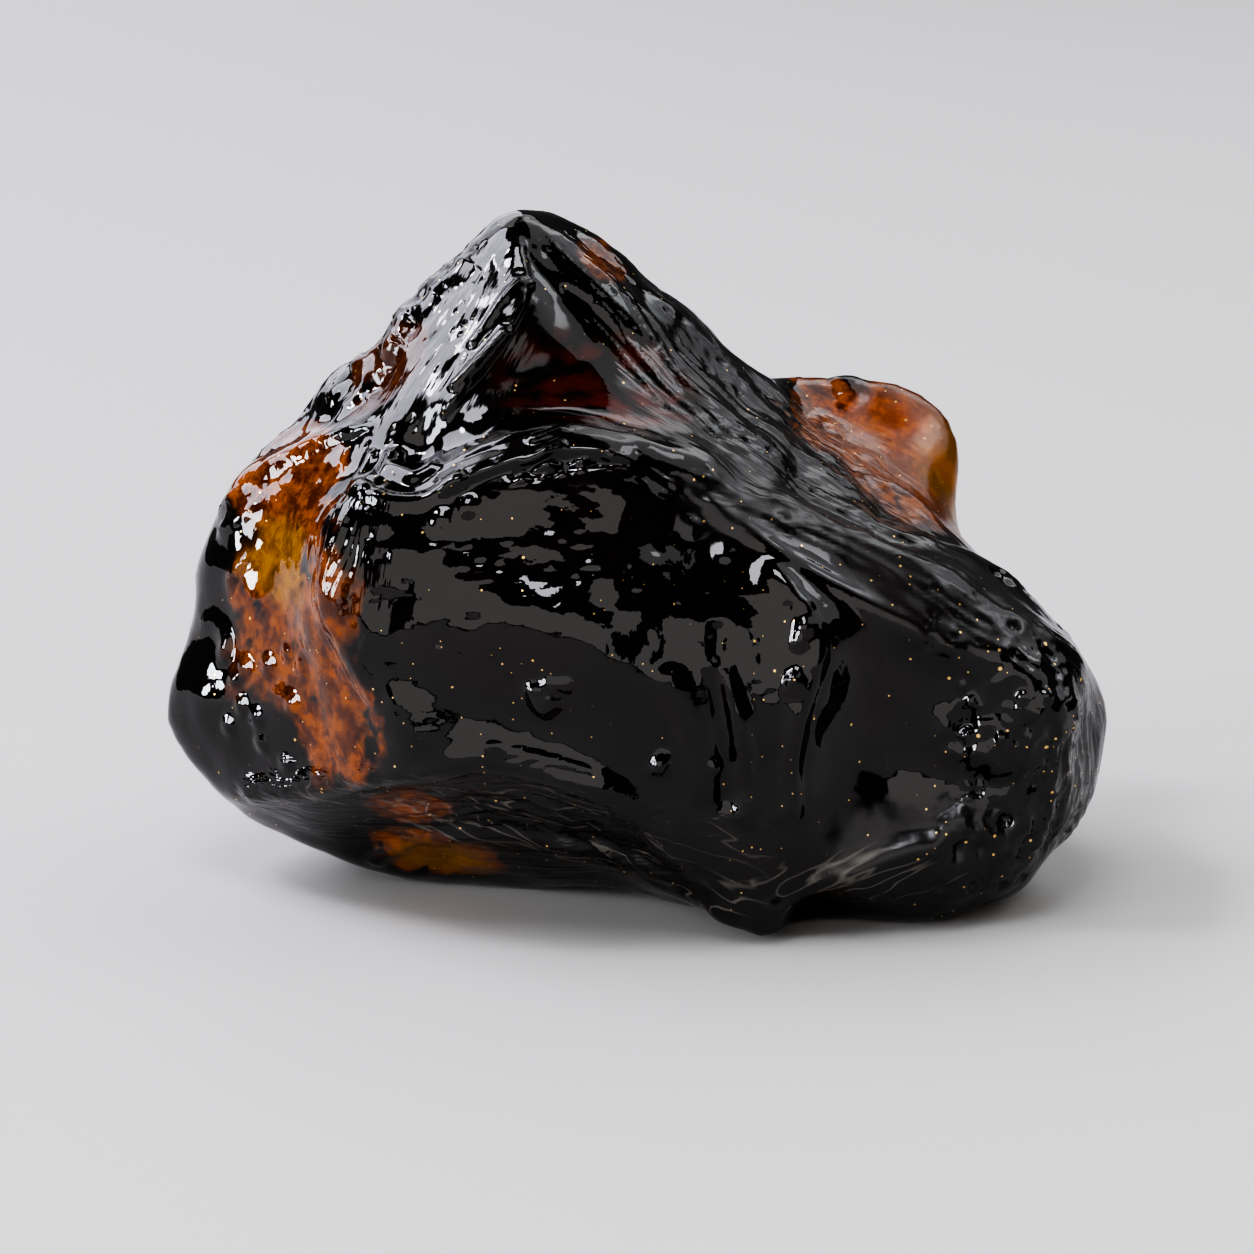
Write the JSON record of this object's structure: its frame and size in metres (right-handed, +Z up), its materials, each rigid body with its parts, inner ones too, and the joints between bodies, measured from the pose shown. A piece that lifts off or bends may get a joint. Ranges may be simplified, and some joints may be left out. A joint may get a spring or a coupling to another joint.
{
  "type": "blue amber nugget",
  "caption": "Raw rounded-edged lump of dark blue amber with a tall peak, a broad front face, a scooped hollow, a pitted end and a flat to rest on.",
  "frame": {"origin": "middle of the bounding box in X and Y, at the height of the flat that the nugget rests on", "axes": "+X along the nugget's length, from its bulging left end to its pitted right lobe; +Y from the broad front face to the back; +Z up, to the peak"},
  "size_m": [0.0602, 0.0354, 0.0432],
  "materials": {
    "amber": "dark, wet-looking natural gloss with small pits and soft flow ridges; see-through orange-brown where the lump is thin, near black where it is thick, a faint cool grey-blue sheen"
  },
  "bodies": {
    "root": {"amber_nugget": "amber"}
  },
  "joints": []
}
